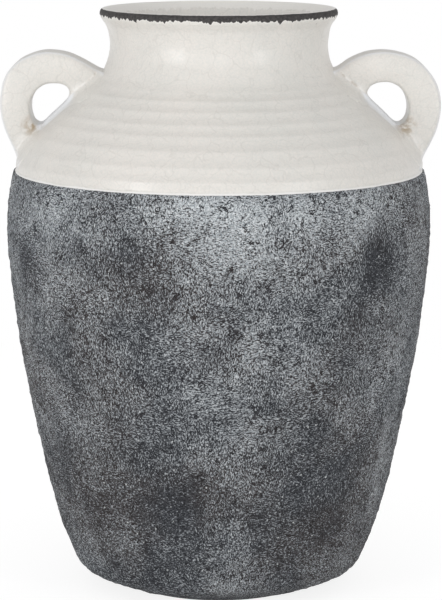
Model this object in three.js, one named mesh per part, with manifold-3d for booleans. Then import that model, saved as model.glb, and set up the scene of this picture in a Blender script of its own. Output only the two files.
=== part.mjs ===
// Two-handled stoneware jar on the lines of an ancient Greek neck-handled vessel.
// Millimetres, +Z up, origin on the table under the axis. The handles lie along X and the front faces -Y.
//
// It is built as a potter builds it: a turned base, a thrown lower wall, a ringed shoulder, a neck and a
// flared lip stacked with slip joints, and two strap handles pressed on across neck and shoulder.

import * as THREE from 'three';
import { mergeVertices } from 'three/addons/utils/BufferGeometryUtils.js';
import Module from 'manifold-3d';

// Driving dimensions
const HEIGHT = 400;              // table to the crest of the lip
const WALL = 8;                  // thrown wall of the body and shoulder
const NECK_WALL = 6.5;           // thinner wall of the neck
const SLIP_GAP = 0.3;            // slip left between two joined sections
const TONGUE = 3;                // height of the tongue in each slip joint

const FOOT_RADIUS = 64;          // outside edge of the ring it stands on
const FOOT_RING_WIDTH = 10;
const FOOT_RECESS = 4;           // how far the underside is turned away inside that ring
const FLOOR_THICKNESS = 8;
const HEEL_JOINT = new THREE.Vector2(94.2, 12);

const BELLY_RADIUS = 145.5;
const BELLY_Z = 255;
const SEAM_Z = 288.7;            // top edge of the rough body
const SEAM_RADIUS = 141.3;
const SHOULDER_RADIUS = 139.8;   // the glazed shoulder starts a little inside the rough body's edge
const NECK_JOINT_Z = 355;
const NECK_JOINT_RADIUS = 80.6;
const WAIST_RADIUS = 74.4;       // narrowest ring of the neck
const WAIST_Z = 375;
const LIP_JOINT_Z = 388.2;
const LIP_JOINT_RADIUS = 76.8;
const LIP_RADIUS = 81;
const LIP_Z = 396.3;             // where the lip stands furthest out
const CREST_RADIUS = 78.6;

const FLUTE_COUNT = 9;           // shallow flutes pressed into the shoulder by the potter's fingers
const FLUTE_DEPTH = 1.1;
const STEPS_PER_FLUTE = 3;

const HANDLE_REACH = 150.6;      // axis to the outside of a handle
const HANDLE_TOP = 371;
const HOLE_REACH = 129.2;        // axis to the far side of the finger hole
const HOLE_TOP = 349.8;
const STRAP_WIDTH = 28;          // front to back
const OUTER_EDGE = 2.6;          // radius of its edges on the outside
const INNER_EDGE = 6.5;          // radius of its edges round the finger hole
const ROOT_SPREAD = 14;          // extra width of its roots, where the clay is smeared on to the wall
const ROOT_LENGTH = 0.16;        // share of the handle's ring, at each root, over which it spreads
const FREE_SHARE = 0.64;         // share of the handle's ring that stands clear of the wall

const FACETS = 60;               // facets round the axis, with corners on the X and Y axes
const STRAP_STEPS = 36;
const EDGE_STEPS = 3;            // facets round each of the strap's four edges

// Fired finishes
const CRACKLE_GLAZE = new THREE.MeshStandardMaterial({ color: 0xdddbd6, roughness: 0.35, metalness: 0 });
const HANDLE_GLAZE = new THREE.MeshStandardMaterial({ color: 0xdedbd4, roughness: 0.35, metalness: 0 });
const ROUGH_SLIP = new THREE.MeshStandardMaterial({ color: 0x626365, roughness: 0.9, metalness: 0 });
const LIP_SLIP = new THREE.MeshStandardMaterial({ color: 0x3c3a3a, roughness: 0.7, metalness: 0 });

const wasm = await Module();
wasm.setup();

// Profiles are points (radius, height). Each outer curve runs upwards.
const at = (radius, height) => new THREE.Vector2(radius, height);
const spline = (...stations) => new THREE.SplineCurve(stations.map((station) => at(...station)));

const footCurve = new THREE.QuadraticBezierCurve(at(FOOT_RADIUS, 0), at(84, 7), HEEL_JOINT);

const bodyCurve = spline(
  HEEL_JOINT.toArray(),
  [99.4, 17.4],
  [103.6, 27],
  [112.8, 52],
  [125.2, 104],
  [137.3, 168],
  [144.5, 228],
  [BELLY_RADIUS, BELLY_Z],
  [144.3, 272],
  [SEAM_RADIUS, SEAM_Z],
);

const shoulderCurve = spline(
  [SHOULDER_RADIUS, SEAM_Z + SLIP_GAP],
  [137.8, 297.4],
  [127.7, 312.3],
  [112, 327.7],
  [93, 344.1],
  [85.1, 350.3],
  [NECK_JOINT_RADIUS, NECK_JOINT_Z],
);

const neckCurve = spline(
  [NECK_JOINT_RADIUS - 0.3, NECK_JOINT_Z + SLIP_GAP],
  [77.1, 362],
  [75.2, 368],
  [WAIST_RADIUS, WAIST_Z],
  [75.1, 382],
  [LIP_JOINT_RADIUS, LIP_JOINT_Z],
);

// The lip's outline, from under its flare over the crest and down into the mouth.
const lipOutline = [
  at(LIP_JOINT_RADIUS + 0.2, LIP_JOINT_Z + SLIP_GAP),
  at(79.2, 393),
  at(LIP_RADIUS, LIP_Z),
  at(80.5, 398.9),
  at(CREST_RADIUS, HEIGHT),
  at(76.7, 399.1),
  at(73.9, 395.3),
  at(LIP_JOINT_RADIUS - NECK_WALL, LIP_JOINT_Z + TONGUE + SLIP_GAP),
];

// Points of a curve moved sideways: to the inside of the wall by a positive depth.
// The depth is a number or a function of the share of the way along.
function offset(curve, depth, steps) {
  const depthAt = typeof depth === 'function' ? depth : () => depth;
  const points = [];
  for (let i = 0; i <= steps; i += 1) {
    const share = i / steps;
    const along = curve.getTangentAt(share);
    const inwards = at(-along.y, along.x);
    points.push(curve.getPointAt(share).addScaledVector(inwards, depthAt(share)));
  }
  return points;
}

// A slip joint between two sections of wall, each half listed from the outside in.
// The rim below has a tongue along its inner half, and the foot above is cut to sit over it.
function slipJoint(rimOuter, footOuter, inner, height) {
  const ledge = (rimOuter + inner) / 2;
  const lean = 1;
  return {
    rim: [
      at(rimOuter, height),
      at(ledge, height),
      at(ledge - lean, height + TONGUE),
      at(inner, height + TONGUE),
    ],
    foot: [
      at(footOuter, height + SLIP_GAP),
      at(ledge + SLIP_GAP, height + SLIP_GAP),
      at(ledge - lean + SLIP_GAP, height + TONGUE + SLIP_GAP),
      at(inner, height + TONGUE + SLIP_GAP),
    ],
  };
}

// Revolves a profile that is listed anticlockwise, with the outside going up.
// A profile that leaves and meets the axis is closed already, and any other is closed on itself.
function revolve(profile) {
  const onAxis = profile[0].x === 0;
  const outline = onAxis ? profile : [...profile, profile[0]];
  return new THREE.LatheGeometry(outline, FACETS).rotateX(Math.PI / 2);
}

const seam = slipJoint(SEAM_RADIUS, SHOULDER_RADIUS, SEAM_RADIUS - WALL - 0.6, SEAM_Z);
const collar = slipJoint(NECK_JOINT_RADIUS, NECK_JOINT_RADIUS - 0.3, NECK_JOINT_RADIUS - WALL, NECK_JOINT_Z);
const brim = slipJoint(LIP_JOINT_RADIUS, LIP_JOINT_RADIUS + 0.2, LIP_JOINT_RADIUS - NECK_WALL, LIP_JOINT_Z);

// The base is a disc with a turned foot ring. Its edge is a 45 degree bevel that carries the lower wall.
function baseProfile() {
  const floorTop = FOOT_RECESS + FLOOR_THICKNESS;
  const bevelTop = at(HEEL_JOINT.x - 6, HEEL_JOINT.y + 6);
  const ringInner = FOOT_RADIUS - FOOT_RING_WIDTH;
  return [
    at(0, FOOT_RECESS),
    at(ringInner - 3, FOOT_RECESS),
    at(ringInner, 0),
    ...footCurve.getPoints(3),
    bevelTop,
    at(bevelTop.x - 6, floorTop + 1.6),
    at(bevelTop.x - 14, floorTop),
    at(0, floorTop),
  ];
}

// The thrown wall from the base to the seam, with the joint's tongue along its rim.
function lowerBodyProfile() {
  const lift = SLIP_GAP * Math.SQRT2;
  const outside = offset(bodyCurve, 0, 12).slice(1, -1);
  const inside = offset(bodyCurve, WALL, 8).slice(1, -1).reverse();
  return [
    at(HEEL_JOINT.x, HEEL_JOINT.y + lift),
    ...outside,
    ...seam.rim,
    ...inside,
    at(HEEL_JOINT.x - 6, HEEL_JOINT.y + 6 + lift),
  ];
}

// The shoulder closes in over the body. Its rings are the crests left between shallow flutes.
function shoulderProfile() {
  const fluteDepth = (share) => FLUTE_DEPTH * Math.abs(Math.sin(Math.PI * FLUTE_COUNT * share));
  const outside = offset(shoulderCurve, fluteDepth, FLUTE_COUNT * STEPS_PER_FLUTE).slice(1, -1);
  const inside = offset(shoulderCurve, WALL, 6).slice(1, -1).reverse();
  return [seam.foot[0], ...outside, ...collar.rim, ...inside, ...seam.foot.slice(1).reverse()];
}

function neckProfile() {
  const outside = offset(neckCurve, 0, 7).slice(1, -1);
  const inside = offset(neckCurve, NECK_WALL, 4).slice(1, -1).reverse();
  return [collar.foot[0], ...outside, ...brim.rim, ...inside, ...collar.foot.slice(1).reverse()];
}

// The lip flares like a trumpet's mouth, with a rounded edge, and is seated on the neck's rim.
function lipProfile() {
  return [...lipOutline, ...brim.foot.slice(1, 3).reverse()];
}

// The outside of the jar with its slip gap, filled to the axis. It shapes the roots of the handles.
function jarEnvelope() {
  const steps = FLUTE_COUNT * STEPS_PER_FLUTE;
  return revolve([
    at(0, BELLY_Z),
    at(BELLY_RADIUS, BELLY_Z),
    ...offset(shoulderCurve, -SLIP_GAP, steps),
    ...offset(neckCurve, -SLIP_GAP, 7).slice(1),
    at(0, LIP_JOINT_Z),
  ]);
}

// A closed curve in the handle's middle plane through stations (distance from the axis, height).
const closedCurve = (stations) =>
  new THREE.CatmullRomCurve3(stations.map(([x, z]) => new THREE.Vector3(x, 0, z)), true, 'centripetal');

// The strap leaves the neck, rises over a rounded finger hole, turns down and lands on the ringed shoulder.
// A low pad along the shoulder joins its two roots, so the whole handle is a ring, cut off where the jar is.
const handleOutline = closedCurve([
  [68, 350],
  [79.4, 358.6],
  [96, HANDLE_TOP - 4.2],
  [105, HANDLE_TOP - 0.9],
  [114, HANDLE_TOP],
  [127.5, HANDLE_TOP - 2.8],
  [138, HANDLE_TOP - 8.6],
  [145.2, 355.4],
  [149.2, 346],
  [HANDLE_REACH, 333],
  [149, 321],
  [145, 310.5],
  [141, 302],
  [137.5, 293],
  [131, 284],
  [112, 290],
  [88, 306],
  [68, 328],
  [64, 340],
]);
const fingerHole = closedCurve([
  [103.4, 338.4],
  [101.8, 343],
  [103, 346.8],
  [107, HOLE_TOP - 0.7],
  [112, HOLE_TOP],
  [117.5, HOLE_TOP - 0.6],
  [123, 346.2],
  [127.5, 340.5],
  [HOLE_REACH, 333.5],
  [128.6, 326.5],
  [126.6, 322.4],
  [123.6, 321.2],
  [119.8, 322.3],
  [115.2, 327.2],
  [108.8, 333.7],
]);

// One section of the handle between its outline and its hole: a rectangle with rounded corners, wider near
// both roots.
function handleSection(share) {
  const outer = handleOutline.getPointAt(share);
  const inner = fingerHole.getPointAt(share);
  const across = outer.clone().sub(inner).normalize();
  const clear = Math.min(share, FREE_SHARE - share);
  const nearRoot = Math.min(1, Math.max(0, 1 - clear / ROOT_LENGTH));
  const halfWidth = (STRAP_WIDTH + ROOT_SPREAD * nearRoot * nearRoot) / 2;
  const section = [];
  for (let corner = 0; corner < 4; corner += 1) {
    const outside = corner === 0 || corner === 3;
    const radius = outside ? OUTER_EDGE : INNER_EDGE;
    const [edge, inset] = outside ? [outer, -radius] : [inner, radius];
    const centre = edge.clone().addScaledVector(across, inset);
    const front = corner < 2 ? 1 : -1;
    for (let step = 0; step <= EDGE_STEPS; step += 1) {
      const angle = (Math.PI / 2) * (corner + step / EDGE_STEPS);
      const point = centre.clone().addScaledVector(across, radius * Math.cos(angle));
      point.y -= front * (halfWidth - radius) + radius * Math.sin(angle);
      section.push(point);
    }
  }
  return section;
}

// Joins equal sections, one after the other and the last to the first, into one closed skin.
function loft(sections) {
  const sides = sections[0].length;
  const faces = [];
  for (let row = 0; row < sections.length; row += 1) {
    const following = (row + 1) % sections.length;
    for (let side = 0; side < sides; side += 1) {
      const next = (side + 1) % sides;
      const [a, b] = [row * sides + side, row * sides + next];
      const [c, d] = [following * sides + side, following * sides + next];
      faces.push(a, b, d, a, d, c);
    }
  }
  return new THREE.BufferGeometry().setFromPoints(sections.flat()).setIndex(faces);
}

function toManifold(geometry) {
  const bare = geometry.clone();
  bare.deleteAttribute('normal');
  bare.deleteAttribute('uv');
  const merged = mergeVertices(bare);
  return new wasm.Manifold(new wasm.Mesh({
    numProp: 3,
    vertProperties: new Float32Array(merged.attributes.position.array),
    triVerts: new Uint32Array(merged.index.array),
  }));
}

function toGeometry(manifold) {
  const mesh = manifold.getMesh();
  const geometry = new THREE.BufferGeometry();
  geometry.setAttribute('position', new THREE.BufferAttribute(new Float32Array(mesh.vertProperties), 3));
  geometry.setIndex([...mesh.triVerts]);
  geometry.computeVertexNormals();
  return geometry;
}

// One handle, its back cut to a saddle shape that fits the neck and the shoulder.
function handleGeometry() {
  const sections = [];
  for (let i = 0; i < STRAP_STEPS; i += 1) {
    sections.push(handleSection(i / STRAP_STEPS));
  }
  return toGeometry(toManifold(loft(sections)).subtract(toManifold(jarEnvelope())));
}

const vase = new THREE.Group();

function addPiece(name, geometry, material) {
  const mesh = new THREE.Mesh(geometry, material);
  mesh.name = name;
  vase.add(mesh);
  return mesh;
}

addPiece('base', revolve(baseProfile()), ROUGH_SLIP);
addPiece('lower_body', revolve(lowerBodyProfile()), ROUGH_SLIP);
addPiece('shoulder', revolve(shoulderProfile()), CRACKLE_GLAZE);
addPiece('neck', revolve(neckProfile()), CRACKLE_GLAZE);
addPiece('lip', revolve(lipProfile()), LIP_SLIP);

const handle = handleGeometry();
addPiece('right_handle', handle, HANDLE_GLAZE);
addPiece('left_handle', handle, HANDLE_GLAZE).rotation.z = Math.PI;

export default vase;
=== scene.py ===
"""Two-handled stoneware vase with a rough charcoal body, a crackle-glazed top and dark slip on its lip."""

import math
from functools import partial

import bpy
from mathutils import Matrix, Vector
from mathutils.kdtree import KDTree


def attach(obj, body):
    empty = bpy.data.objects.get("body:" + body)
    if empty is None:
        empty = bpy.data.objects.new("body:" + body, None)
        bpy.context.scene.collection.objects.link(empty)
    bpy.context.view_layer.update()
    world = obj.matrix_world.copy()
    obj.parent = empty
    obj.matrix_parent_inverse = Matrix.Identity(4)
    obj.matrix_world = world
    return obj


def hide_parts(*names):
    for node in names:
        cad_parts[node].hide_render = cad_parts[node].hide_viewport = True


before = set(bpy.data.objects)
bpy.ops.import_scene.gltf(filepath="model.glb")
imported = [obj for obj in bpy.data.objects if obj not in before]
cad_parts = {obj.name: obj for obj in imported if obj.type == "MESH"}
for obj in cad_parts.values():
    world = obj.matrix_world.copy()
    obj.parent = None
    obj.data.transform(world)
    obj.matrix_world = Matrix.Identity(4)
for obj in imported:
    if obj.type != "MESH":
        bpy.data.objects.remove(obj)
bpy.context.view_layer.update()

bl_info = {
    "name": "Two-handled stoneware vase",
    "version": (1, 0, 0),
    "blender": (4, 5, 0),
    "location": "3D View > Sidebar > Vase",
    "description": "Models a glazed stoneware vase with two strap handles, and a plain studio for it",
    "category": "Object",
}

MM = 0.001
WELD = 0.02 * MM                 # points closer than this are one
SHARP = math.radians(50)         # an edge with a sharper bend than this shows as an edge

# Outline of the vase: radius and height in millimetres, from the table upwards
HEEL_HEIGHT = 12
SEAM_HEIGHT = 288.7
COLLAR_HEIGHT = 355
BRIM_HEIGHT = 388.2
LOWER_OUTLINE = [(64, 0), (72.5, 3.2), (82, 6.9), (94.2, HEEL_HEIGHT), (99.4, 17.4), (103.6, 27),
                 (112.8, 52), (125.2, 104), (137.3, 168), (144.5, 228), (145.5, 255), (144.3, 272),
                 (141.3, SEAM_HEIGHT)]
UPPER_OUTLINE = [(139.5, SEAM_HEIGHT), (137.8, 297.4), (127.7, 312.3), (112, 327.7), (93, 344.1),
                 (85.1, 350.3), (80.6, COLLAR_HEIGHT), (77.1, 362), (75.2, 368), (74.4, 375), (75.1, 382),
                 (76.8, BRIM_HEIGHT)]
LIP_OUTLINE = [(76.8, BRIM_HEIGHT), (79, 391.6), (80.7, 394.2), (81.3, 396.6), (80.7, 398.8), (79.2, 399.9),
               (77.6, 399.7), (75.8, 397.6), (73.4, 393.8), (70.3, BRIM_HEIGHT)]
LIP_FACETS = 480                 # more than the glazed parts have, for the slip's runs
WALL = 8
NECK_WALL = 6.5

# Turned base: its sole from the middle to the heel, and its top from the wall inwards
SOLE = [(0, 4), (51, 4), (54, 0.4), (54.6, 0)]
BASE_TOP = [(86, 16), (74, HEEL_HEIGHT), (0, HEEL_HEIGHT)]
TUCK = 0.7                       # how far the base's edge is tucked in behind the wall

# Top of the rough wall, under the glaze, and the bead in which the glaze ends over it
WALL_RIM = [(140.9, SEAM_HEIGHT + 0.3), (140.2, SEAM_HEIGHT + 0.4), (133, SEAM_HEIGHT + 0.4)]
GLAZE_BEAD = [(137.2, SEAM_HEIGHT - 1.5), (139, SEAM_HEIGHT - 0.6), (140, SEAM_HEIGHT + 0.3),
              (139.9, SEAM_HEIGHT + 1.1), (139.2, SEAM_HEIGHT + 1.8)]
BEAD_TOP = SEAM_HEIGHT + 2.5

# Throwing ridges on the shoulder, from the top down
RIDGES = (350, 344.5, 337.9, 330.5, 323.8, 315.1, 305.5, 296.5, SEAM_HEIGHT)
RIDGE_SOFTNESS = 0.03            # rounds the ridges, as glaze does

# Sections of each handle round its finger hole, in its middle plane: distance from the axis and height of
# the outside, and the same of the hole. The first and last ones are inside the jar, where a low pad on the
# shoulder joins the handle's two roots. The handles are pulled by hand, so they differ a little.
RIGHT_HANDLE = [
    (64, 340, 107.5, 334.3), (66, 350, 105.3, 336.4), (70, 355, 103.5, 338.4),
    (80, 358.2, 102, 340.8), (89.4, 364.7, 101.2, 343.6), (99.6, 369.1, 103.4, 347.3),
    (108, 370.6, 107.2, 349.4), (114.8, 370.7, 111.7, 350.2), (122, 369.7, 116.7, 350),
    (129.6, 367.5, 121.2, 348.1), (136.6, 363.7, 124.6, 345.2), (143.3, 357.2, 127.1, 341.6),
    (148, 350.1, 128.6, 338.2), (150.8, 341.7, 129.4, 335), (151.7, 334, 129.6, 331.5),
    (150.9, 326, 129.3, 328.5), (148.5, 316.8, 128.4, 325.4), (144.7, 308.2, 126.9, 322.9),
    (140.8, 301, 124.8, 321.4), (136.5, 292, 122.2, 321.2), (130, 284, 119.2, 323),
    (111, 290, 115.8, 326.4), (86, 308, 112.8, 329.4), (66, 327, 110, 332),
]
LEFT_HANDLE = [
    (64, 340, 107.5, 334), (66, 350, 105.6, 335.9), (70, 356, 103.9, 337.9),
    (79.4, 357, 102.6, 340.4), (87.4, 361.3, 101.8, 343.2), (95.2, 365.6, 103.2, 346.7),
    (104.7, 369.4, 107.2, 348.9), (115.7, 370.8, 112.6, 349.4), (123.2, 370, 117.3, 348.9),
    (130.8, 367.4, 121.4, 347), (137.2, 363.8, 124.5, 344.2), (143.8, 357, 127.1, 340.4),
    (147.2, 349.5, 128.5, 336.8), (148.7, 341.7, 128.9, 333.3), (149.2, 335, 128.8, 330),
    (148.7, 328.5, 128.2, 326.9), (147, 320.8, 127.3, 324.2), (144.2, 313.2, 125.9, 322.3),
    (141, 306.2, 124, 321.2), (138.2, 300, 122, 321.1), (134, 291.5, 120, 322.2),
    (128, 284, 118, 324.1), (108, 291, 115.4, 326.7), (86, 308, 112.6, 329.2),
    (66, 327, 110, 331.6),
]
HOLE_HEIGHT = 336                # middle of the finger holes
CROOK = (127, 16, 321)           # where a strap lands on the shoulder and its glaze is stained
SECTION_STEPS = 6                # points from one section to the next
ROOT_DEPTH = 2.5                 # how far a strap's roots go into the jar, past its skin
CORE_BOTTOM = 255                # the shape that cuts the roots starts here, below them
CORE_FACETS = 180
HOLE_EASE = 9                    # the smeared clay gets thin this near to the finger hole
COLLAR_EASE = 12                 # and this far below the collar
CREASE_HEIGHT = 4.5              # the crease over the smeared clay, above the jar
CREASE_WIDTH = 0.7
CREASE_EASE = 12                 # the crease gets faint this far above and below the hole's middle

# Sizes of the clouds that lift the skins, in millimetres
GROG_SIZE = 5
LUMP_SIZE = 26
THROWING_SIZE = 40
BEAD_SIZE = 9

# Where the pale wash lies thick, or is rubbed off where the amount is less than 0: degrees round from the
# front towards the right, height, reach round the wall and reach up it in millimetres, and amount
WASH_PATCHES = [
    (6, 257, 34, 26, 0.32), (-6, 282, 30, 12, 0.3), (20, 276, 62, 13, 0.25), (-56, 268, 44, 18, 0.24),
    (44, 276, 30, 12, 0.15), (-62, 238, 12, 22, -0.28), (-24, 243, 34, 16, -0.24), (-46, 219, 18, 22, 0.14),
    (-18, 215, 24, 12, -0.14), (-48, 182, 30, 12, -0.02), (10, 200, 44, 40, 0.14), (46, 240, 15, 24, -0.5),
    (39, 203, 14, 17, -0.35), (62, 200, 16, 40, 0.16), (52, 150, 24, 12, 0.16), (-3, 157, 22, 12, 0.22),
    (-48, 130, 26, 12, 0.18), (-16, 88, 30, 24, -0.34), (-42, 74, 28, 14, -0.18), (-54, 100, 20, 20, -0.1),
    (37, 68, 26, 20, -0.34), (30, 108, 30, 14, -0.18), (5, 66, 14, 40, 0.16), (4, 22, 34, 9, 0.2),
    (-66, 24, 26, 16, 0.26), (66, 90, 16, 40, 0.24), (4, 122, 24, 20, 0.16), (48, 30, 22, 20, 0.12),
    (110, 230, 40, 30, -0.3), (150, 180, 50, 26, 0.25), (-150, 250, 50, 20, 0.2), (-120, 120, 40, 40, -0.3),
    (170, 90, 40, 30, -0.25), (-170, 190, 30, 30, -0.2),
]
# Longer runs of the lip's slip: degrees round from the front, length and half width in millimetres
DRIPS = [(-43, 1.8, 1.1), (-26, 2.2, 0.8), (-4, 2.2, 1.4), (1, 2.8, 0.7), (30, 2.3, 1.5), (62, 1.6, 1.2),
         (105, 2, 1.3), (160, 2.4, 1), (-150, 1.8, 1.4), (-100, 2.2, 1)]

# Camera: its place in metres, how far it looks down in degrees, and its focal length, its shift and the
# height of its frame in pixels
CAMERA_PLACE = (0, -1.8594, 0.5175)
CAMERA_DIP = 9.764
FOCAL_LENGTH = 2714.7
SHIFT = 2.2
FRAME_HEIGHT = 600
SENSOR = 36                      # in millimetres

# Soft boxes: name, place and width in metres, and power in watts
LAMPS = (("left_softbox", (-1.7, -1.7, 0.62), 0.6, 15), ("right_softbox", (1.7, -1.7, 0.62), 0.6, 9.5),
         ("front_fill", (0, -3.1, 1), 1.6, 10))
LAMP_HEIGHT = 1
LAMP_TARGET = (0, 0, 0.3)


def linear(hex_colour):
    """Turn an sRGB hex colour into the linear colour that a shader takes."""
    channels = [int(hex_colour[i:i + 2], 16) / 255 for i in (1, 3, 5)]
    return [c / 12.92 if c <= 0.04045 else ((c + 0.055) / 1.055) ** 2.4 for c in channels] + [1.0]


def scale_of(size):
    """Scale of a texture whose pattern has a size in millimetres."""
    return 1 / (size * MM)


def clamp(share):
    """The share, kept between 0 and 1."""
    return min(1.0, max(0.0, share))


def curve_through(stations, steps):
    """Points on a smooth curve through the stations, with as many steps from each to the next."""
    knots = [Vector(p) for p in stations]
    knots = [2 * knots[0] - knots[1], *knots, 2 * knots[-1] - knots[-2]]
    points = []
    for a, b, c, d in zip(knots, knots[1:], knots[2:], knots[3:]):
        for i in range(steps):
            t = i / steps
            points.append(0.5 * (2 * b + (c - a) * t + (2 * a - 5 * b + 4 * c - d) * t * t
                                 + (3 * b - a - 3 * c + d) * t ** 3))
    points.append(knots[-2])
    return points


def smooth(stations, steps):
    """Points at even spacing along a smooth curve through the stations."""
    fine = curve_through(stations, steps=40)
    lengths = [0.0]
    for p, q in zip(fine, fine[1:]):
        lengths.append(lengths[-1] + (q - p).length)
    points = []
    j = 0
    for i in range(steps + 1):
        goal = lengths[-1] * i / steps
        while j < len(fine) - 2 and lengths[j + 1] < goal:
            j += 1
        span = lengths[j + 1] - lengths[j]
        points.append(fine[j].lerp(fine[j + 1], (goal - lengths[j]) / span if span else 0.0))
    return points


def inset(points, depth):
    """The same points moved into the wall by a depth, which may be negative."""
    moved = []
    for i, point in enumerate(points):
        along = points[min(i + 1, len(points) - 1)] - points[max(i - 1, 0)]
        along.normalize()
        moved.append(point + depth * Vector((-along.y, along.x)))
    return moved


def radius_at(outline, height):
    """Radius of a rising outline at a height, straight between its points."""
    for (low_radius, low), (high_radius, high) in zip(outline, outline[1:]):
        if height <= high:
            share = max(0.0, (height - low) / (high - low))
            return low_radius + (high_radius - low_radius) * share
    return outline[-1][0]


def upper_lines():
    """Outlines of the shoulder, the neck and the lip, cut from one smooth line so that no joint shows."""
    line = smooth(UPPER_OUTLINE + LIP_OUTLINE[1:], steps=340)
    collar = max(i for i, point in enumerate(line) if point.y <= COLLAR_HEIGHT)
    brim = min(i for i, point in enumerate(line) if point.y >= BRIM_HEIGHT)
    return line[:collar + 1], line[collar:brim + 1], line[brim:]


def deselect():
    """Leave edit mode and select nothing."""
    if bpy.context.object and bpy.context.object.mode != "OBJECT":
        bpy.ops.object.mode_set(mode="OBJECT")
    bpy.ops.object.select_all(action="DESELECT")


def select_only(*pieces):
    deselect()
    for piece in pieces:
        piece.select_set(True)
    bpy.context.view_layer.objects.active = pieces[0]


def draw_line(name, points):
    """Draw an open line through points of (radius, height) in millimetres, in the XZ plane."""
    deselect()
    bpy.ops.mesh.primitive_plane_add(size=MM)
    line = bpy.context.object
    line.name = name
    bpy.ops.object.mode_set(mode="EDIT")
    bpy.ops.mesh.select_all(action="SELECT")
    bpy.ops.mesh.merge(type="CENTER")
    places = [Vector((x * MM, 0, z * MM)) for x, z in points]
    bpy.ops.transform.translate(value=places[0])
    for last, place in zip(places, places[1:]):
        bpy.ops.mesh.extrude_vertices_move(TRANSFORM_OT_translate={"value": place - last})
    bpy.ops.object.mode_set(mode="OBJECT")
    return line


def revolve(name, profile, facets):
    """Spin a closed profile round the axis into a skin that is smooth but for its corners."""
    piece = draw_line(name, profile)
    bpy.ops.object.mode_set(mode="EDIT")
    bpy.ops.mesh.select_all(action="SELECT")
    bpy.ops.mesh.spin(steps=facets, angle=math.tau, center=(0, 0, 0), axis=(0, 0, 1))
    bpy.ops.mesh.select_all(action="SELECT")
    bpy.ops.mesh.remove_doubles(threshold=WELD)
    bpy.ops.mesh.normals_make_consistent(inside=False)
    bpy.ops.object.mode_set(mode="OBJECT")
    bpy.ops.object.shade_smooth_by_angle(angle=SHARP)
    return piece


def apply(piece, kind, **settings):
    """Add a modifier to a piece, set it and apply it."""
    select_only(piece)
    bpy.ops.object.modifier_add(type=kind)
    modifier = piece.modifiers[-1]
    for key, value in settings.items():
        setattr(modifier, key, value)
    bpy.ops.object.modifier_apply(modifier=modifier.name)


def polar(place):
    """Degrees round from the front, radius and height of a place."""
    return math.degrees(math.atan2(place.x, -place.y)), math.hypot(place.x, place.y), place.z


def displace(piece, name, strength, weight_at, cloud_size=None):
    """Move a skin along its normals, evenly or by a cloud pattern.

    weight_at turns a vertex's place in millimetres and its normal into its share of the strength.
    """
    group = piece.vertex_groups.new(name=name)
    for vertex in piece.data.vertices:
        group.add([vertex.index], weight_at(vertex.co / MM, vertex.normal), "REPLACE")
    settings = {"strength": strength, "mid_level": 0.0, "vertex_group": name}
    if cloud_size:
        cloud = bpy.data.textures.new(name, "CLOUDS")
        cloud.noise_scale = cloud_size
        cloud.noise_depth = 2
        settings.update(texture=cloud, texture_coords="LOCAL", mid_level=0.5)
    apply(piece, "DISPLACE", **settings)


def keep_number(piece, name, value_at):
    """Keep one number per vertex for the shaders, from its place in millimetres and its normal."""
    values = [value_at(vertex.co / MM, vertex.normal) for vertex in piece.data.vertices]
    piece.data.attributes.new(name, "FLOAT", "POINT").data.foreach_set("value", values)


def finish_piece(piece, slot, material, *nodes):
    """Give a piece its one material, and let it stand for its nodes of the frame."""
    piece.data.materials.clear()
    piece.data.materials.append(material)
    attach(piece, "root")
    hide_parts(*nodes)


def add_node(tree, kind, sockets=None, **settings):
    """Add a shader node, set its properties, and fill or link its sockets.

    Sockets without a name of their own go by number: 1 to 4 of a Map Range are the ends of its input and
    then of its output, 2 and 3 of a Mix are its two numbers, and 6 and 7 its two colours.
    """
    node = tree.nodes.new("ShaderNode" + kind)
    for key, value in settings.items():
        setattr(node, key, value)
    for key, value in (sockets or {}).items():
        if isinstance(value, bpy.types.NodeSocket):
            tree.links.new(value, node.inputs[key])
        else:
            node.inputs[key].default_value = value
    return node


def new_material(name):
    material = bpy.data.materials.new(name)
    material.use_nodes = True
    material.node_tree.nodes.clear()
    return material


# Sizes of the patterns in the glaze, in millimetres
CRACKLE = 12
FINE_CRACKLE = 5.5
CRACKLE_SWAY = 14
CRACKLE_PATCH = 11
POOL = 50
GLAZE_GRAIN = 1.3
WAVE = 9
PINHOLE_SPACING = 15
STAIN = 5
LIP_SWAY = 5
LIP_TEETH = 2.4
LIP_GRAIN = 1.6

# Where the lip's slip ends: height of its lower edge and radius of its inner one, on the lip's crest
SLIP_HEIGHT = 396.2
SLIP_RADIUS = 80.1
SOFT_EDGE = 0.3


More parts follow.
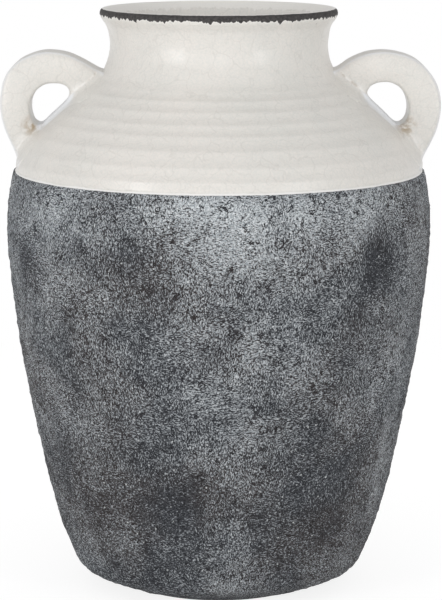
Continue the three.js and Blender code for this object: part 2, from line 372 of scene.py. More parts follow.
def glaze_skin(node, tint, cool_tint):
    """Nodes of an opaque off-white stoneware glaze. Returns its colour, roughness and normal sockets.

    The glaze is dipped and fired. It pools a little unevenly, has a fine grain, and cools into a faint net
    of hairline crackle that comes and goes, with cells of 8 to 12 mm and smaller ones here and there. Real
    lines are about 0.2 mm wide, and these are drawn 0.6 mm wide so that they show.
    """
    place = node("TexCoord").outputs["Object"]
    sway = node("TexNoise", {"Vector": place, "Scale": scale_of(CRACKLE_SWAY),
                             "Detail": 3}).outputs["Color"]
    bent = node("VectorMath", {0: sway, 1: [CRACKLE_SWAY * MM] * 3, 2: place},
                operation="MULTIPLY_ADD").outputs[0]
    wide = node("TexVoronoi", {"Vector": bent, "Scale": scale_of(CRACKLE)},
                feature="DISTANCE_TO_EDGE").outputs["Distance"]
    fine = node("TexVoronoi", {"Vector": bent, "Scale": scale_of(FINE_CRACKLE)},
                feature="DISTANCE_TO_EDGE").outputs["Distance"]
    wide_line = node("MapRange", {"Value": wide, 1: 0.0, 2: 0.05, 3: 1.0, 4: 0.0}).outputs[0]
    fine_line = node("MapRange", {"Value": fine, 1: 0.0, 2: 0.1, 3: 0.7, 4: 0.0}).outputs[0]
    spread = node("TexNoise", {"Vector": place, "Scale": scale_of(CRACKLE_PATCH),
                               "Detail": 3}).outputs["Fac"]
    wide_share = node("MapRange", {"Value": spread, 1: 0.42, 2: 0.58, 3: 0.15, 4: 1.0}).outputs[0]
    fine_share = node("MapRange", {"Value": spread, 1: 0.4, 2: 0.52, 3: 1.0, 4: 0.0}).outputs[0]
    wide_net = node("Math", {0: wide_line, 1: wide_share}, operation="MULTIPLY").outputs[0]
    fine_net = node("Math", {0: fine_line, 1: fine_share}, operation="MULTIPLY").outputs[0]
    net = node("Math", {0: wide_net, 1: fine_net}, operation="MAXIMUM").outputs[0]
    pool = node("TexNoise", {"Vector": place, "Scale": scale_of(POOL), "Detail": 3}).outputs["Fac"]
    dust = node("TexNoise", {"Vector": place, "Scale": scale_of(GLAZE_GRAIN), "Detail": 2}).outputs["Fac"]
    dusted = node("Math", {0: dust, 1: 1.4, 2: pool}, operation="MULTIPLY_ADD").outputs[0]
    mottle = node("MapRange", {"Value": dusted, 1: 0.8, 2: 1.6}).outputs[0]
    body = node("Mix", {0: mottle, 6: linear(tint), 7: linear(cool_tint)}, data_type="RGBA").outputs[2]
    veil = node("Math", {0: net, 1: 0.12}, operation="MULTIPLY").outputs[0]
    lined = node("Mix", {0: veil, 6: body, 7: linear("#8a8178")}, data_type="RGBA").outputs[2]
    spots = node("TexVoronoi", {"Vector": place, "Scale": scale_of(PINHOLE_SPACING)}, feature="F1")
    speck = node("MapRange", {"Value": spots.outputs["Distance"], 1: 0.02, 2: 0.045, 3: 0.5, 4: 0.0})
    some = node("Math", {0: spots.outputs["Color"], 1: 0.62}, operation="GREATER_THAN").outputs[0]
    pinhole = node("Math", {0: speck.outputs[0], 1: some}, operation="MULTIPLY").outputs[0]
    colour = node("Mix", {0: pinhole, 6: lined, 7: linear("#6d665c")}, data_type="RGBA").outputs[2]
    wave = node("TexNoise", {"Vector": place, "Scale": scale_of(WAVE), "Detail": 2}).outputs["Fac"]
    relief = node("Math", {0: net, 1: -0.25, 2: wave}, operation="MULTIPLY_ADD").outputs[0]
    normal = node("Bump", {"Height": relief, "Distance": 0.25 * MM, "Strength": 0.6}).outputs[0]
    rough = node("MapRange", {"Value": wave, 1: 0.3, 2: 0.7, 3: 0.3, 4: 0.4}).outputs[0]
    return colour, rough, normal


def crackle_glaze(tint, cool_tint):
    """Dipped crackle glaze: a soft satin off-white with faint lines, which gives broad, quiet highlights.

    Its lower edge has run into a thick bead, along which a highlight is painted in white.
    """
    material = new_material("crackle_stoneware_glaze")
    node = partial(add_node, material.node_tree)
    colour, rough, normal = glaze_skin(node, tint, cool_tint)
    place = node("TexCoord").outputs["Object"]
    height = node("SeparateXYZ", {"Vector": place}).outputs["Z"]
    sway = node("TexNoise", {"Vector": place, "Scale": scale_of(CRACKLE_SWAY), "Detail": 3}).outputs["Fac"]
    swayed = node("Math", {0: sway, 1: 1.6 * MM, 2: height}, operation="MULTIPLY_ADD").outputs[0]
    # A highlight is painted in white along the thick bead at the glaze's lower edge.
    low, high = ((SEAM_HEIGHT + reach) * MM for reach in (1.9, 2.6))
    roll_highlight = node("MapRange", {"Value": swayed, 1: low, 2: high, 3: 0.9, 4: 0.0}).outputs[0]
    colour = node("Mix", {0: roll_highlight, 6: colour, 7: linear("#f6f5f3")}, data_type="RGBA").outputs[2]
    skin = node("BsdfPrincipled", {"Base Color": colour, "Roughness": rough, "Normal": normal, "IOR": 1.5})
    node("OutputMaterial", {"Surface": skin.outputs[0]})
    return material


def stained_glaze(tint, cool_tint):
    """The same glaze on the handles, with a highlight painted in bluish white along their outer edges, pale
    light painted on the floor of the finger hole, and a highlight line painted in white in the creases of
    their roots.

    Iron stain is gathered in the crooks where they land, and thinly along the creases.
    """
    material = new_material("crackle_glaze_with_iron_stain")
    node = partial(add_node, material.node_tree)
    colour, rough, normal = glaze_skin(node, tint, cool_tint)
    place = node("TexCoord").outputs["Object"]
    crease = node("Attribute", attribute_name="crease").outputs["Fac"]
    bead = node("Attribute", attribute_name="bead").outputs["Fac"]
    cloud = node("TexNoise", {"Vector": place, "Scale": scale_of(STAIN), "Detail": 3}).outputs["Fac"]
    # A thin highlight line is painted in white along the crease, broken into patches by the cloud.
    highlight_patches = node("MapRange", {"Value": cloud, 1: 0.38, 2: 0.48}).outputs[0]
    crease_highlight = node("Math", {0: crease, 1: highlight_patches}, operation="MULTIPLY").outputs[0]
    white = node("Math", {0: crease_highlight, 1: 0.9}, operation="MULTIPLY").outputs[0]
    colour = node("Mix", {0: white, 6: colour, 7: linear("#fcfaf7")}, data_type="RGBA").outputs[2]
    # The bead attribute carries a highlight painted in bluish white along the outer edges, and pale light
    # painted on the floor of the finger hole.
    thick = node("Math", {0: bead, 1: 0.9}, operation="MULTIPLY").outputs[0]
    colour = node("Mix", {0: thick, 6: colour, 7: linear("#f2f4f8")}, data_type="RGBA").outputs[2]
    mirrored = node("VectorMath", {0: place}, operation="ABSOLUTE").outputs[0]
    crook = [c * MM for c in CROOK]
    near = node("VectorMath", {0: mirrored, 1: crook}, operation="DISTANCE").outputs["Value"]
    patch = node("MapRange", {"Value": near, 1: 1 * MM, 2: 9 * MM, 3: 0.9, 4: 0.0}).outputs[0]
    along = node("Math", {0: crease, 1: 0.3}, operation="MULTIPLY").outputs[0]
    reach = node("Math", {0: patch, 1: along}, operation="MAXIMUM").outputs[0]
    blotch = node("MapRange", {"Value": cloud, 1: 0.42, 2: 0.6, 3: 1.0, 4: 0.1}).outputs[0]
    stain = node("Math", {0: reach, 1: blotch}, operation="MULTIPLY").outputs[0]
    colour = node("Mix", {0: stain, 6: colour, 7: linear("#9f8660")}, data_type="RGBA").outputs[2]
    skin = node("BsdfPrincipled", {"Base Color": colour, "Roughness": rough, "Normal": normal, "IOR": 1.5})
    node("OutputMaterial", {"Surface": skin.outputs[0]})
    return material


def slipped_lip(tint, cool_tint):
    """Charcoal slip wiped round the glazed lip: dry and dark, with a ragged lower edge and a few runs."""
    material = new_material("charcoal_slip_on_glaze")
    node = partial(add_node, material.node_tree)
    glaze, glaze_rough, normal = glaze_skin(node, tint, cool_tint)
    place = node("TexCoord").outputs["Object"]
    height = node("SeparateXYZ", {"Vector": place}).outputs["Z"]
    around = node("VectorMath", {0: place, 1: (1, 1, 0)}, operation="MULTIPLY").outputs[0]
    radius = node("VectorMath", {0: around}, operation="LENGTH").outputs["Value"]
    sway = node("TexNoise", {"Vector": around, "Scale": scale_of(LIP_SWAY), "Detail": 4,
                             "Roughness": 0.75}).outputs["Fac"]
    teeth = node("TexVoronoi", {"Vector": around, "Scale": scale_of(LIP_TEETH)},
                 feature="F1").outputs["Distance"]
    drip = node("Attribute", attribute_name="drip").outputs["Fac"]
    swayed = node("Math", {0: sway, 1: 4.2 * MM, 2: height}, operation="MULTIPLY_ADD").outputs[0]
    toothed = node("Math", {0: teeth, 1: -LIP_TEETH * MM, 2: swayed}, operation="MULTIPLY_ADD").outputs[0]
    reach = node("Math", {0: drip, 1: MM, 2: toothed}, operation="MULTIPLY_ADD").outputs[0]
    low, high = SLIP_HEIGHT * MM, (SLIP_HEIGHT + SOFT_EDGE) * MM
    below = node("MapRange", {"Value": reach, 1: low, 2: high}).outputs[0]
    ragged_radius = node("Math", {0: sway, 1: 1.2 * MM, 2: radius}, operation="MULTIPLY_ADD").outputs[0]
    near, far = SLIP_RADIUS * MM, (SLIP_RADIUS + SOFT_EDGE) * MM
    outside = node("MapRange", {"Value": ragged_radius, 1: near, 2: far}).outputs[0]
    slip = node("Math", {0: below, 1: outside}, operation="MULTIPLY").outputs[0]
    low, high = (SLIP_HEIGHT - 0.9) * MM, (SLIP_HEIGHT + 0.1) * MM
    halo = node("MapRange", {"Value": reach, 1: low, 2: high, 3: 0.0, 4: 0.7}).outputs[0]
    lit = node("Mix", {0: halo, 6: glaze, 7: linear("#f0eeea")}, data_type="RGBA").outputs[2]
    grain = node("TexNoise", {"Vector": place, "Scale": scale_of(LIP_GRAIN), "Detail": 3}).outputs["Fac"]
    speckle = node("MapRange", {"Value": grain, 1: 0.38, 2: 0.68}).outputs[0]
    dark = node("Mix", {0: speckle, 6: linear("#2e2c2c"), 7: linear("#4b4847")},
                data_type="RGBA").outputs[2]
    colour = node("Mix", {0: slip, 6: lit, 7: dark}, data_type="RGBA").outputs[2]
    rough = node("Mix", {0: slip, 2: glaze_rough, 3: 0.75}, data_type="FLOAT").outputs[0]
    skin = node("BsdfPrincipled", {"Base Color": colour, "Roughness": rough, "Normal": normal, "IOR": 1.5})
    node("OutputMaterial", {"Surface": skin.outputs[0]})
    return material


# Sizes of the patterns in the rough slip, in millimetres, and how a brush stroke is stretched
WASH_CLOUD = 30
BRUSHED_PATCH = 34
STROKE = 0.75
LEVEL_STROKE = (0.45, 0.45, 1.1)
UPRIGHT_STROKE = (1.1, 1.1, 0.45)
SCRATCH = 8
SCRATCHED_PATCH = 13
IRON = 60
SAND = 0.9
CHIP_SPACING = 7


def rough_slip():
    """Charcoal slip with coarse grog, dabbed on and dry brushed with pale grey wash on its high spots.

    The brush leaves strokes of 1 to 2 mm, level in some places and upright in others. Where the wash lies
    thick it is pale and only pits and winding scratches stay dark, and where it is rubbed off only some
    tips are grey, so the wall looks weathered and never even. The pits hold the light, so the dry surface
    shines less than a smooth one.
    """
    material = new_material("grogged_charcoal_slip")
    node = partial(add_node, material.node_tree)
    place = node("TexCoord").outputs["Object"]
    laid = node("Attribute", attribute_name="wash").outputs["Fac"]
    cloud = node("TexNoise", {"Vector": place, "Scale": scale_of(WASH_CLOUD), "Detail": 7,
                              "Roughness": 0.66}).outputs["Fac"]
    wash = node("Math", {0: cloud, 1: 1.1, 2: laid}, operation="MULTIPLY_ADD").outputs[0]
    brushed = node("TexNoise", {"Vector": place, "Scale": scale_of(BRUSHED_PATCH),
                                "Detail": 2}).outputs["Fac"]
    upright = node("MapRange", {"Value": brushed, 1: 0.47, 2: 0.53}).outputs[0]
    strokes = []
    for stretch in (LEVEL_STROKE, UPRIGHT_STROKE):
        run = node("VectorMath", {0: place, 1: stretch}, operation="MULTIPLY").outputs[0]
        strokes.append(node("TexNoise", {"Vector": run, "Scale": scale_of(STROKE), "Detail": 2,
                                         "Roughness": 0.7}).outputs["Fac"])
    grit = node("Mix", {0: upright, 2: strokes[0], 3: strokes[1]}, data_type="FLOAT").outputs[0]
    winding = node("TexNoise", {"Vector": place, "Scale": scale_of(SCRATCH), "Detail": 3,
                                "Distortion": 0.6}).outputs["Fac"]
    from_middle = node("Math", {0: winding, 1: 0.5}, operation="SUBTRACT").outputs[0]
    gap = node("Math", {0: from_middle}, operation="ABSOLUTE").outputs[0]
    scratch = node("MapRange", {"Value": gap, 1: 0.0, 2: 0.02, 3: 0.32, 4: 0.0}).outputs[0]
    region = node("TexNoise", {"Vector": place, "Scale": scale_of(SCRATCHED_PATCH),
                               "Detail": 1}).outputs["Fac"]
    scratched = node("MapRange", {"Value": region, 1: 0.45, 2: 0.55}).outputs[0]
    groove = node("Math", {0: scratch, 1: scratched}, operation="MULTIPLY").outputs[0]
    height = node("Math", {0: grit, 1: groove}, operation="SUBTRACT").outputs[0]
    edge = node("MapRange", {"Value": wash, 1: 0.6, 2: 1.6, 3: 0.593, 4: 0.42}, clamp=False).outputs[0]
    over = node("Math", {0: height, 1: edge}, operation="SUBTRACT").outputs[0]
    paint = node("MapRange", {"Value": over, 1: -0.06, 2: 0.06}).outputs[0]
    iron = node("TexNoise", {"Vector": place, "Scale": scale_of(IRON), "Detail": 3}).outputs["Fac"]
    warm = node("MapRange", {"Value": iron, 1: 0.42, 2: 0.62, 4: 0.7}).outputs[0]
    sand = node("TexNoise", {"Vector": place, "Scale": scale_of(SAND), "Detail": 2,
                             "Roughness": 0.7}).outputs["Fac"]
    grain = node("MapRange", {"Value": sand, 1: 0.32, 2: 0.68}).outputs[0]
    pit = node("Mix", {0: warm, 6: linear("#060708"), 7: linear("#0a0807")}, data_type="RGBA").outputs[2]
    tip = node("Mix", {0: warm, 6: linear("#4a4c52"), 7: linear("#544b49")}, data_type="RGBA").outputs[2]
    dark = node("Mix", {0: grain, 6: pit, 7: tip}, data_type="RGBA").outputs[2]
    thick = node("MapRange", {"Value": wash, 1: 0.6, 2: 1.6}).outputs[0]
    low = node("Mix", {0: thick, 6: linear("#50555c"), 7: linear("#8a959c")}, data_type="RGBA").outputs[2]
    high = node("Mix", {0: thick, 6: linear("#c4c9ce"), 7: linear("#f8fbfd")}, data_type="RGBA").outputs[2]
    pale = node("Mix", {0: grain, 6: low, 7: high}, data_type="RGBA").outputs[2]
    washed = node("Mix", {0: paint, 6: dark, 7: pale}, data_type="RGBA").outputs[2]
    spots = node("TexVoronoi", {"Vector": place, "Scale": scale_of(CHIP_SPACING)},
                 feature="F1").outputs["Distance"]
    chip = node("MapRange", {"Value": spots, 1: 0.05, 2: 0.11, 3: 0.7, 4: 0.0}).outputs[0]
    colour = node("Mix", {0: chip, 6: washed, 7: linear("#eef1f2")}, data_type="RGBA").outputs[2]
    normal = node("Bump", {"Height": height, "Distance": 1.2 * MM, "Strength": 1.0}).outputs[0]
    skin = node("BsdfPrincipled", {"Base Color": colour, "Roughness": 0.75, "Normal": normal,
                                   "Specular IOR Level": 0.2})
    node("OutputMaterial", {"Surface": skin.outputs[0]})
    return material


def flute_depth(height):
    """Depth of the shoulder's flutes at a height, as a share of the deepest: a wide flute is the deeper."""
    widest = max(top - bottom for top, bottom in zip(RIDGES, RIDGES[1:]))
    for top, bottom in zip(RIDGES, RIDGES[1:]):
        if bottom <= height <= top:
            swell = math.sin(math.pi * (top - height) / (top - bottom))
            rounded = math.sqrt(swell * swell + RIDGE_SOFTNESS) - math.sqrt(RIDGE_SOFTNESS)
            return math.sqrt((top - bottom) / widest) * rounded
    return 0.0


def rough_outside(place, normal):
    """Full weight on the rough outside and none on the inside and the standing ring, little at the rim."""
    _, radius, height = polar(place)
    if radius < radius_at(LOWER_OUTLINE, height) - WALL / 2:
        return 0.0
    return min(1.0, max(0.0, height / 4), max(0.15, (SEAM_HEIGHT + 1 - height) / 4))


def on_glazed_outside(place):
    """Whether a place is on the outside of the shoulder or the neck."""
    _, radius, height = polar(place)
    return radius > radius_at(UPPER_OUTLINE, height) - NECK_WALL / 2


def flute_weight(place, normal):
    """Share of the deepest flute's depth. The flutes are smoothed away beside the handles."""
    degrees, _, height = polar(place)
    if not on_glazed_outside(place):
        return 0.0
    front = abs(math.cos(math.radians(degrees)))
    return flute_depth(height) * min(1.0, max(0.1, 2.5 * front - 0.6))


def between_joints(place, normal):
    """Full weight on the glazed outside, and none at the seam, the collar and the brim."""
    if not on_glazed_outside(place):
        return 0.0
    return min(1.0, abs(place.z - COLLAR_HEIGHT) / 6, max(0.0, (place.z - SEAM_HEIGHT) / 8),
               max(0.0, (BRIM_HEIGHT - place.z) / 8))


def on_bead(place, normal):
    """1 on the bead in which the glaze ends, and 0 elsewhere."""
    return float(on_glazed_outside(place) and place.z < BEAD_TOP)


def wash_at(place, normal):
    """How thick the pale wash lies on the rough wall: about 0 where rubbed off and 1 where it covers."""
    degrees, _, height = polar(place)
    amount = 0.28 + 0.26 * (height / SEAM_HEIGHT) ** 1.5
    for middle, level, around, up, weight in WASH_PATCHES:
        turn = (degrees - middle + 180) % 360 - 180
        across = math.radians(turn) * radius_at(LOWER_OUTLINE, height)
        amount += weight * math.exp(-(across / around) ** 2 - ((height - level) / up) ** 2)
    return amount


def drip_at(place, normal):
    """How far the lip's slip has run down, in millimetres."""
    degrees, _, _ = polar(place)
    run = 0.0
    for middle, length, half_width in DRIPS:
        turn = (degrees - middle + 180) % 360 - 180
        across = math.radians(turn) * LIP_OUTLINE[2][0]
        run = max(run, length * max(0.0, 1 - abs(across) / half_width))
    return run


class VaseBodySettings(bpy.types.PropertyGroup):
    facets: bpy.props.IntProperty(
        name="Facets", description="Faces round the rough wall", default=512, min=60)
    grog: bpy.props.FloatProperty(
        name="Grog", description="Height of the coarse grog in the slip", default=1.8 * MM, unit="LENGTH")
    lumps: bpy.props.FloatProperty(
        name="Lumps", description="Height of the wide lumps of dabbed slip", default=1.2 * MM,
        unit="LENGTH")


class VaseGlazeSettings(bpy.types.PropertyGroup):
    facets: bpy.props.IntProperty(
        name="Facets", description="Faces round the glazed parts", default=320, min=60)
    flute: bpy.props.FloatProperty(
        name="Flute", description="Depth of the widest throwing flute", default=0.8 * MM, unit="LENGTH")
    throwing: bpy.props.FloatProperty(
        name="Throwing", description="How uneven the thrown wall is", default=1.0 * MM, unit="LENGTH")
    bead: bpy.props.FloatProperty(
        name="Bead", description="How uneven the bead at the glaze's end is", default=0.9 * MM,
        unit="LENGTH")
    tint: bpy.props.StringProperty(
        name="Glaze", description="sRGB hex colour of the glaze", default="#e9e4de")
    cool: bpy.props.StringProperty(
        name="Pooled glaze", description="sRGB hex colour of the glaze where it pools", default="#dcdbd6")


class VaseHandleSettings(bpy.types.PropertyGroup):
    width: bpy.props.FloatProperty(
        name="Width", description="Strap width, front to back", default=28 * MM, unit="LENGTH")
    outer_edge: bpy.props.FloatProperty(
        name="Outer edge", description="Radius of the edges on a strap's outside", default=2.6 * MM,
        unit="LENGTH")
    inner_edge: bpy.props.FloatProperty(
        name="Inner edge", description="Radius of the edges round the finger hole", default=2 * MM,
        unit="LENGTH")
    crown: bpy.props.FloatProperty(
        name="Crown", description="How far the middle of a strap's front stands out", default=2 * MM,
        unit="LENGTH")
    smear: bpy.props.FloatProperty(
        name="Smear", description="Radius of the clay smeared from the roots on to the jar",
        default=10 * MM, unit="LENGTH")


class VASE_OT_body(bpy.types.Operator):
    """Spin the rough lower wall and the turned base"""
    bl_idname = "vase.body"
    bl_label = "Rough body"

    def execute(self, context):
        settings = context.scene.vase_body
        slip = rough_slip()
        outline = smooth(LOWER_OUTLINE, steps=190)
        wall_line = [p for p in outline if p.y >= HEEL_HEIGHT]
        heel_line = [p for p in outline if p.y <= HEEL_HEIGHT + 0.5]
        inner = inset(smooth(LOWER_OUTLINE[3:], steps=10), WALL)[::-1]
        wall = revolve("rough_wall", [*wall_line, *WALL_RIM, *inner, wall_line[0]], settings.facets)
        tuck = inset([p for p in outline if HEEL_HEIGHT < p.y <= HEEL_HEIGHT + 4], TUCK)
        base = revolve("turned_base", [*SOLE, *heel_line, *tuck, *BASE_TOP], settings.facets)
        for piece in (wall, base):
            displace(piece, "grog", settings.grog, rough_outside, cloud_size=GROG_SIZE * MM)
            displace(piece, "lumps", settings.lumps, rough_outside, cloud_size=LUMP_SIZE * MM)
            keep_number(piece, "wash", wash_at)
        finish_piece(wall, "rough_slip", slip, "lower_body")
        finish_piece(base, "rough_slip", slip, "base")
        return {"FINISHED"}


class VASE_OT_glazed_top(bpy.types.Operator):
    """Spin the fluted shoulder and the neck"""
    bl_idname = "vase.glazed_top"
    bl_label = "Shoulder and neck"

    def execute(self, context):
        settings = context.scene.vase_glaze
        glaze = crackle_glaze(settings.tint, settings.cool)
        shoulder_line, neck_line, _ = upper_lines()
        front = GLAZE_BEAD + [p for p in shoulder_line if p.y > SEAM_HEIGHT + 2.4]
        back = inset(smooth(UPPER_OUTLINE[:7], steps=12), WALL)[::-1]
        shoulder = revolve("fluted_shoulder", [*front, *back, front[0]], settings.facets)
        foot = [(neck_line[0].x - 1.2, COLLAR_HEIGHT - 2)]
        back = inset(smooth(UPPER_OUTLINE[6:], steps=10), NECK_WALL)[::-1]
        neck = revolve("glazed_neck", [*foot, *neck_line, *back, foot[0]], settings.facets)
        displace(shoulder, "flutes", -settings.flute, flute_weight)
        for piece in (shoulder, neck):
            displace(piece, "throwing", settings.throwing, between_joints, cloud_size=THROWING_SIZE * MM)
        displace(shoulder, "bead", settings.bead, on_bead, cloud_size=BEAD_SIZE * MM)
        finish_piece(shoulder, "crackle_glaze", glaze, "shoulder")
        finish_piece(neck, "crackle_glaze", glaze, "neck")
        return {"FINISHED"}


class VASE_OT_lip(bpy.types.Operator):
    """Spin the flared lip"""
    bl_idname = "vase.lip"
    bl_label = "Lip"

    def execute(self, context):
        settings = context.scene.vase_glaze
        lip_line = upper_lines()[2]
        lip = revolve("flared_lip", [*lip_line, lip_line[0]], LIP_FACETS)
        keep_number(lip, "drip", drip_at)
        finish_piece(lip, "lip_slip", slipped_lip(settings.tint, settings.cool), "lip")
        return {"FINISHED"}


class Line:
    """A line of points (distance from the axis, height) that can be asked how far it is from a place."""

    def __init__(self, points):
        self.points = points
        self.tree = KDTree(len(points))
        for i, point in enumerate(points):
            self.tree.insert((point.x, point.y, 0), i)
        self.tree.balance()

    def nearest(self, spot):
        """Number of the nearest point, and how far away it is."""
        _, number, distance = self.tree.find((spot.x, spot.y, 0))
        return number, distance


def round_edges(strap, line, radius, segments):
    """Bevel a strap's front and back edges along a line, and none that go from front to back."""
    on_line = [line.nearest(vertex.co.xz / MM)[1] < 0.05 for vertex in strap.data.vertices]
    bpy.ops.object.mode_set(mode="EDIT")
    bpy.ops.mesh.select_mode(type="EDGE")
    bpy.ops.mesh.select_all(action="DESELECT")
    bpy.ops.object.mode_set(mode="OBJECT")
    for edge in strap.data.edges:
        start, end = (strap.data.vertices[i] for i in edge.vertices)
        along = abs(start.co.y - end.co.y) < radius
        edge.select = along and on_line[start.index] and on_line[end.index]
    bpy.ops.object.mode_set(mode="EDIT")
    bpy.ops.mesh.bevel(offset=radius, segments=segments, affect="EDGES", clamp_overlap=False)
    bpy.ops.mesh.select_mode(type="VERT")
    bpy.ops.object.mode_set(mode="OBJECT")


def crown_at(place, normal, outline, hole):
    """A parabola from a strap's outline to its hole, on its front and back."""
    share = outline.nearest(place.xz)[1]
    share /= share + hole.nearest(place.xz)[1]
    return 4 * share * (1 - share) * abs(normal.y)


def pull_strap(name, outline, hole, settings):
    """Bridge a handle's outline and its hole into a flat ring, give it its width and round and crown it."""
    select_only(*[draw_line(name, line.points) for line in (outline, hole)])
    bpy.ops.object.join()
    strap = bpy.context.object
    bpy.ops.object.mode_set(mode="EDIT")
    bpy.ops.mesh.select_all(action="SELECT")
    bpy.ops.mesh.remove_doubles(threshold=WELD)
    bpy.ops.mesh.bridge_edge_loops(number_cuts=5, interpolation="LINEAR")
    bpy.ops.mesh.select_all(action="SELECT")
    bpy.ops.transform.translate(value=(0, -settings.width / 2, 0))
    bpy.ops.mesh.extrude_region_move(TRANSFORM_OT_translate={"value": (0, settings.width, 0)})
    bpy.ops.mesh.select_all(action="SELECT")
    bpy.ops.mesh.normals_make_consistent(inside=False)
    bpy.ops.object.mode_set(mode="OBJECT")
    round_edges(strap, outline, settings.outer_edge, segments=4)
    round_edges(strap, hole, settings.inner_edge, segments=6)
    bpy.ops.object.mode_set(mode="EDIT")
    bpy.ops.mesh.select_all(action="SELECT")
    bpy.ops.mesh.subdivide(number_cuts=1)
    bpy.ops.object.mode_set(mode="OBJECT")
    displace(strap, "crown", settings.crown, partial(crown_at, outline=outline, hole=hole))
    return strap


def off_jar(place, jar_line):
    """How far off the jar's outline a place is in millimetres, and the way out from the jar there."""
    spot = Vector((math.hypot(place.x, place.y), place.z))
    number, _ = jar_line.nearest(spot)
    before, after = max(number - 1, 0), min(number + 1, len(jar_line.points) - 1)
    along = (jar_line.points[after] - jar_line.points[before]).normalized()
    outward = Vector((along.y, -along.x))
    return (spot - jar_line.points[number]).dot(outward), outward


def smear_at(place, normal, hole, jar_line, fillet):
    """Share of the clay smeared on to the jar, in a round fillet that ends level with the jar.

    A strap's sides swell most, and faces that look straight out from the jar not at all. The fillet is
    small beside the hole and at the neck. It goes on below the jar's skin, so that it stays steep there.
    """
    gap, outward = off_jar(place, jar_line)
    rest = clamp(1 - gap / fillet)
    swell = 1 - math.sqrt(1 - rest * rest) + clamp(-3 * gap / fillet)
    side = 0.3 + 0.7 * abs(normal.y)
    beside_hole = 0.1 + 0.9 * min(1.0, hole.nearest(place.xz)[1] / HOLE_EASE)
    below_neck = 0.3 + 0.7 * clamp((COLLAR_HEIGHT - place.z) / COLLAR_EASE)
    away = 1 - max(0.0, outward.dot(normal.xz))
    return swell / 2 * side * away ** 2 * beside_hole * below_neck


def crease_at(place, normal, jar_line):
    """Closeness to the crease above the smeared clay, along which the handle shader paints a white
    highlight line and a thin stain. It is smoothed away beside the hole.
    """
    gap, _ = off_jar(place, jar_line)
    beyond_hole = min(1.0, abs(place.z - HOLE_HEIGHT) / CREASE_EASE)
    return abs(normal.y) * beyond_hole * math.exp(-((gap - CREASE_HEIGHT) / CREASE_WIDTH) ** 2)


def edge_and_floor_highlight_at(place, normal, outline, hole, jar_line, outer_edge):
    """Share of the highlight painted along the outer edges, and of the pale light painted on the floor of
    the hole.
    """
    edge = 1 - outline.nearest(place.xz)[1] * MM / outer_edge
    on_edge = max(0.0, edge) * 2 * min(abs(normal.y), 1 - abs(normal.y))
    gap, outward = off_jar(place, jar_line)
    near_hole = clamp((4 - hole.nearest(place.xz)[1]) / 2)
    facing_out = clamp(2 * outward.dot(normal.xz))
    on_floor = near_hole * clamp((5 - gap) / 2) * facing_out
    return max(on_edge, on_floor)


class VASE_OT_handles(bpy.types.Operator):
    """Pull the two strap handles and cut their roots to the jar"""
    bl_idname = "vase.handles"
    bl_label = "Handles"

    def execute(self, context):
        settings = context.scene.vase_handle
        glaze = stained_glaze(context.scene.vase_glaze.tint, context.scene.vase_glaze.cool)
        jar_line = Line(smooth(UPPER_OUTLINE, steps=300))
        core_line = inset(jar_line.points[::6], ROOT_DEPTH)
        profile = [(0, CORE_BOTTOM), (core_line[0].x, CORE_BOTTOM), *core_line, (0, core_line[-1].y)]
        core = revolve("jar_core", profile, CORE_FACETS)
        for name, node, sections, turn in (("right_strap", "right_handle", RIGHT_HANDLE, 0),
                                           ("left_strap", "left_handle", LEFT_HANDLE, math.pi)):
            points = curve_through([*sections, sections[0]], SECTION_STEPS)
            outline = Line([Vector(p[:2]) for p in points])
            hole = Line([Vector(p[2:]) for p in points])
            strap = pull_strap(name, outline, hole, settings)
            displace(strap, "smear", 2 * settings.smear,
                     partial(smear_at, hole=hole, jar_line=jar_line, fillet=settings.smear / MM))
            apply(strap, "BOOLEAN", operation="DIFFERENCE", object=core, solver="EXACT")
            keep_number(strap, "crease", partial(crease_at, jar_line=jar_line))
            # The bead attribute marks where a highlight and pale light are painted on the strap.
            keep_number(strap, "bead", partial(edge_and_floor_highlight_at, outline=outline, hole=hole, jar_line=jar_line,
                                               outer_edge=settings.outer_edge))
            strap.rotation_euler.z = turn
            bpy.ops.object.transform_apply(rotation=True)
            bpy.ops.object.shade_smooth_by_angle(angle=SHARP)
            finish_piece(strap, "handle_glaze", glaze, node)
        bpy.data.objects.remove(core)
        return {"FINISHED"}


def studio_world():
    """White to the camera. As light it is dimmer, and dimmest overhead, so what faces up is darker."""
    world = bpy.data.worlds.new("soft_studio")
    world.use_nodes = True
    node = partial(add_node, world.node_tree)
    way = node("TexCoord").outputs["Generated"]
    up = node("SeparateXYZ", {"Vector": way}).outputs["Z"]
    light = node("MapRange", {"Value": up, 1: 0.0, 2: 1.0, 3: 0.7, 4: 0.54}).outputs[0]
    seen = node("LightPath").outputs["Is Camera Ray"]
    strength = node("Mix", {0: seen, 2: light, 3: 1.0}, data_type="FLOAT").outputs[0]
    background = world.node_tree.nodes["Background"]
    background.inputs["Color"].default_value = (1, 1, 1, 1)
    world.node_tree.links.new(strength, background.inputs["Strength"])
    return world


def white_paper():
    """Matt paper that takes the vase's shadow, and fades to plain white away from it.

    Camera, glossy and transmission rays see the white. All others see the bare paper.
    """
    material = new_material("white_paper_sweep")
    node = partial(add_node, material.node_tree)
    place = node("TexCoord").outputs["Object"]
    away = node("VectorMath", {0: place}, operation="LENGTH").outputs["Value"]
    far = node("MapRange", {"Value": away, 1: 0.25, 2: 0.9}).outputs[0]
    paper = node("BsdfDiffuse", {"Color": linear("#e8e8e8")}).outputs[0]
    glow = node("Emission", {"Strength": 1.3}).outputs[0]
    white = node("Emission", {"Strength": 1.0}).outputs[0]
    lifted = node("MixShader", {0: 0.64, 1: paper, 2: glow}).outputs[0]
    shown = node("MixShader", {0: far, 1: lifted, 2: white}).outputs[0]
    ray = node("LightPath").outputs
    mirrored = node("Math", {0: ray["Is Glossy Ray"], 1: ray["Is Transmission Ray"]}, operation="MAXIMUM")
    seen = node("Math", {0: ray["Is Camera Ray"], 1: mirrored.outputs[0]}, operation="MAXIMUM").outputs[0]
    surface = node("MixShader", {0: seen, 1: paper, 2: shown})
    node("OutputMaterial", {"Surface": surface.outputs[0]})
    return material


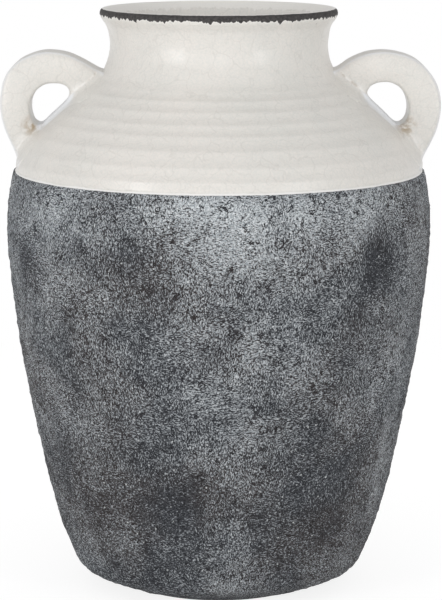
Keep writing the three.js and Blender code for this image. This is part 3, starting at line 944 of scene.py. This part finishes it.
class VASE_OT_stage(bpy.types.Operator):
    """Set up the camera, the soft boxes and the white floor"""
    bl_idname = "vase.stage"
    bl_label = "Studio"

    def execute(self, context):
        scene = context.scene
        deselect()
        bpy.ops.mesh.primitive_plane_add(size=40)
        floor = bpy.context.object
        floor.name = "studio_floor"
        floor.data.materials.append(white_paper())
        scene.world = studio_world()
        for name, spot, width, power in LAMPS:
            bpy.ops.object.light_add(type="AREA", location=spot)
            lamp = bpy.context.object
            lamp.name = name
            lamp.data.shape = "RECTANGLE"
            lamp.data.size = width
            lamp.data.size_y = LAMP_HEIGHT
            lamp.data.energy = power
            lamp.rotation_euler = (Vector(LAMP_TARGET) - lamp.location).to_track_quat("-Z", "Y").to_euler()
        bpy.ops.object.camera_add(location=CAMERA_PLACE, rotation=(math.radians(90 - CAMERA_DIP), 0, 0))
        camera = bpy.context.object
        camera.data.sensor_width = SENSOR
        camera.data.lens = FOCAL_LENGTH * SENSOR / FRAME_HEIGHT
        camera.data.shift_x = SHIFT / FRAME_HEIGHT
        scene.camera = camera
        scene.view_settings.view_transform = "Standard"
        return {"FINISHED"}


class VASE_PT_panel(bpy.types.Panel):
    """Lists the vase's pieces in the sidebar"""
    bl_label = "Vase"
    bl_space_type = "VIEW_3D"
    bl_region_type = "UI"
    bl_category = "Vase"

    def draw(self, context):
        for kind in PIECES:
            self.layout.operator(kind.bl_idname)


PIECES = (VASE_OT_body, VASE_OT_glazed_top, VASE_OT_lip, VASE_OT_handles, VASE_OT_stage)
SETTINGS = {"vase_body": VaseBodySettings, "vase_glaze": VaseGlazeSettings,
            "vase_handle": VaseHandleSettings}


def register():
    for kind in (*SETTINGS.values(), *PIECES, VASE_PT_panel):
        bpy.utils.register_class(kind)
    for name, kind in SETTINGS.items():
        setattr(bpy.types.Scene, name, bpy.props.PointerProperty(type=kind))


def unregister():
    for name in SETTINGS:
        delattr(bpy.types.Scene, name)
    for kind in (VASE_PT_panel, *PIECES, *SETTINGS.values()):
        bpy.utils.unregister_class(kind)


def main():
    register()
    bpy.ops.vase.body()
    bpy.ops.vase.glazed_top()
    bpy.ops.vase.lip()
    bpy.ops.vase.handles()
    bpy.ops.vase.stage()


if __name__ == "__main__":
    main()
